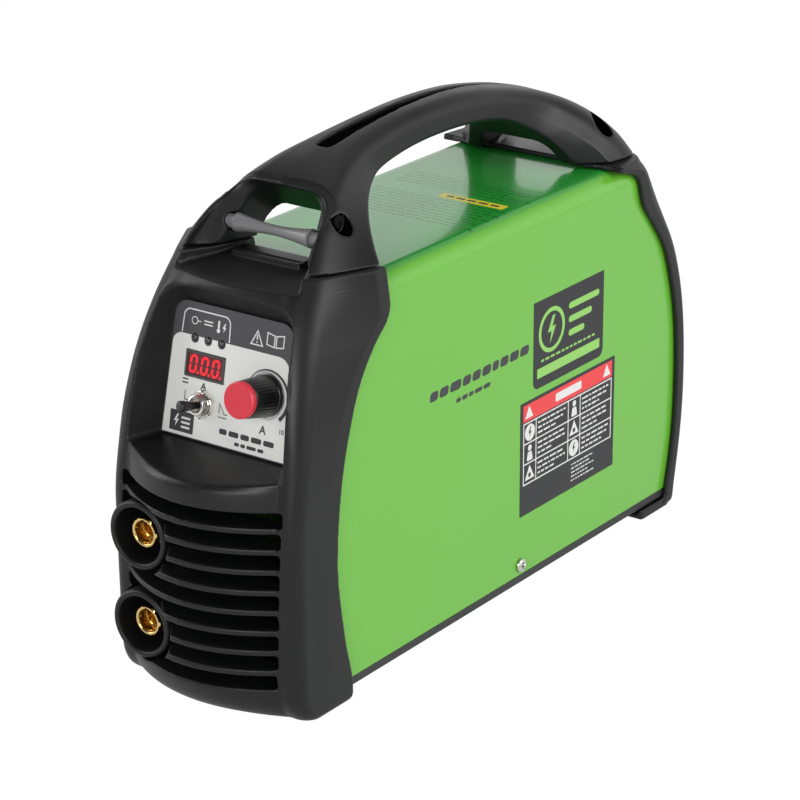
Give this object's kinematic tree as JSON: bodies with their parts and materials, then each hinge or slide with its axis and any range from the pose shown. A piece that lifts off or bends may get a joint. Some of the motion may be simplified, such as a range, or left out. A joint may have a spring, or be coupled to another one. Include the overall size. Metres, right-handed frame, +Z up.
{
  "type": "stick welding inverter",
  "caption": "Portable stick welding inverter: sheet cover between moulded end shells, arched carry handle, recessed control panel, two output sockets.",
  "frame": {"origin": "centre of the plan box, on the surface the machine stands on", "axes": "+Z up, -Y is the front with the sockets and panel, +X is the right side seen from the front"},
  "size_m": [0.13, 0.4264, 0.2984],
  "materials": {
    "black_plastic": "fine moulded texture, satin",
    "dark_part": "smooth black plastic",
    "cover_paint": "lime green powder coat on sheet steel, satin gloss",
    "base_steel": "dark grey coated sheet steel",
    "screw_steel": "zinc plated",
    "chrome": "nickel plated",
    "brass": "bright turned brass",
    "copper": "copper",
    "aluminium": "extruded, plain",
    "red_plastic": "red moulded cap",
    "red_window": "dark red clear window over the digits",
    "lamp": "small lamp lens, unlit",
    "label": "printed film",
    "board": "circuit board",
    "sleeve": "capacitor sleeve",
    "ferrite": "ferrite core",
    "winding": "copper winding under yellow tape"
  },
  "bodies": {
    "root": {"front_shell": "black_plastic", "rear_shell": "black_plastic", "carry_handle": "black_plastic", "strap_bar": "black_plastic", "cover": "cover_paint", "base_plate": "base_steel", "cover_screw_right": "screw_steel", "cover_screw_left": "screw_steel", "panel_label": "label", "power_lamp": "lamp", "voltage_lamp": "lamp", "fault_lamp": "lamp", "display_window": "red_window", "display_module": "dark_part", "control_board": "board", "toggle_body": "chrome", "toggle_nut": "chrome", "potentiometer": "screw_steel", "knob_disc": "screw_steel", "output_diode_module": "dark_part", "main_board": "board", "capacitor_front": "sleeve", "capacitor_rear": "sleeve", "input_rectifier": "dark_part", "output_choke": "copper", "transformer_core": "ferrite", "transformer_winding": "winding", "fan_frame": "dark_part", "power_switch_body": "dark_part", "cable_gland": "dark_part", "gland_nut": "dark_part", "base_screw_front_right": "screw_steel", "handle_screw_front_right": "screw_steel", "base_screw_rear_right": "screw_steel", "handle_screw_rear_right": "screw_steel", "heatsink_right": "aluminium", "power_transistor_right": "dark_part", "rating_label_right": "label", "badge_label_right": "label", "base_screw_front_left": "screw_steel", "handle_screw_front_left": "screw_steel", "base_screw_rear_left": "screw_steel", "handle_screw_rear_left": "screw_steel", "heatsink_left": "aluminium", "power_transistor_left": "dark_part", "rating_label_left": "label", "badge_label_left": "label", "socket_collar_lower": "black_plastic", "socket_brass_lower": "brass", "socket_nut_lower": "brass", "output_bar_lower": "copper", "socket_collar_upper": "black_plastic", "socket_brass_upper": "brass", "socket_nut_upper": "brass", "output_bar_upper": "copper"},
    "knob": {"knob_body": "dark_part", "knob_cap": "red_plastic"},
    "toggle": {"toggle_lever": "dark_part"},
    "mains_rocker": {"power_rocker": "dark_part"},
    "fan": {"fan_rotor": "dark_part"}
  },
  "joints": [
    {"name": "current_knob_turn", "type": "hinge", "parent": "root", "child": "knob", "pos_m": [0.026, -0.16543, 0.17761], "axis": [0, 0.9803, -0.1974], "range_deg": [0, 300]},
    {"name": "process_toggle_flip", "type": "hinge", "parent": "root", "child": "toggle", "pos_m": [-0.0155, -0.174, 0.16547], "axis": [0, 0.1974, 0.9803], "range_deg": [0, 24]},
    {"name": "mains_rocker_flip", "type": "hinge", "parent": "root", "child": "mains_rocker", "pos_m": [0.02, 0.1872, 0.148], "axis": [-1, 0, 0], "range_deg": [0, 18]},
    {"name": "fan_spin", "type": "hinge", "parent": "root", "child": "fan", "pos_m": [0, 0.1682, 0.074], "axis": [0, 1, 0], "continuous": true}
  ]
}
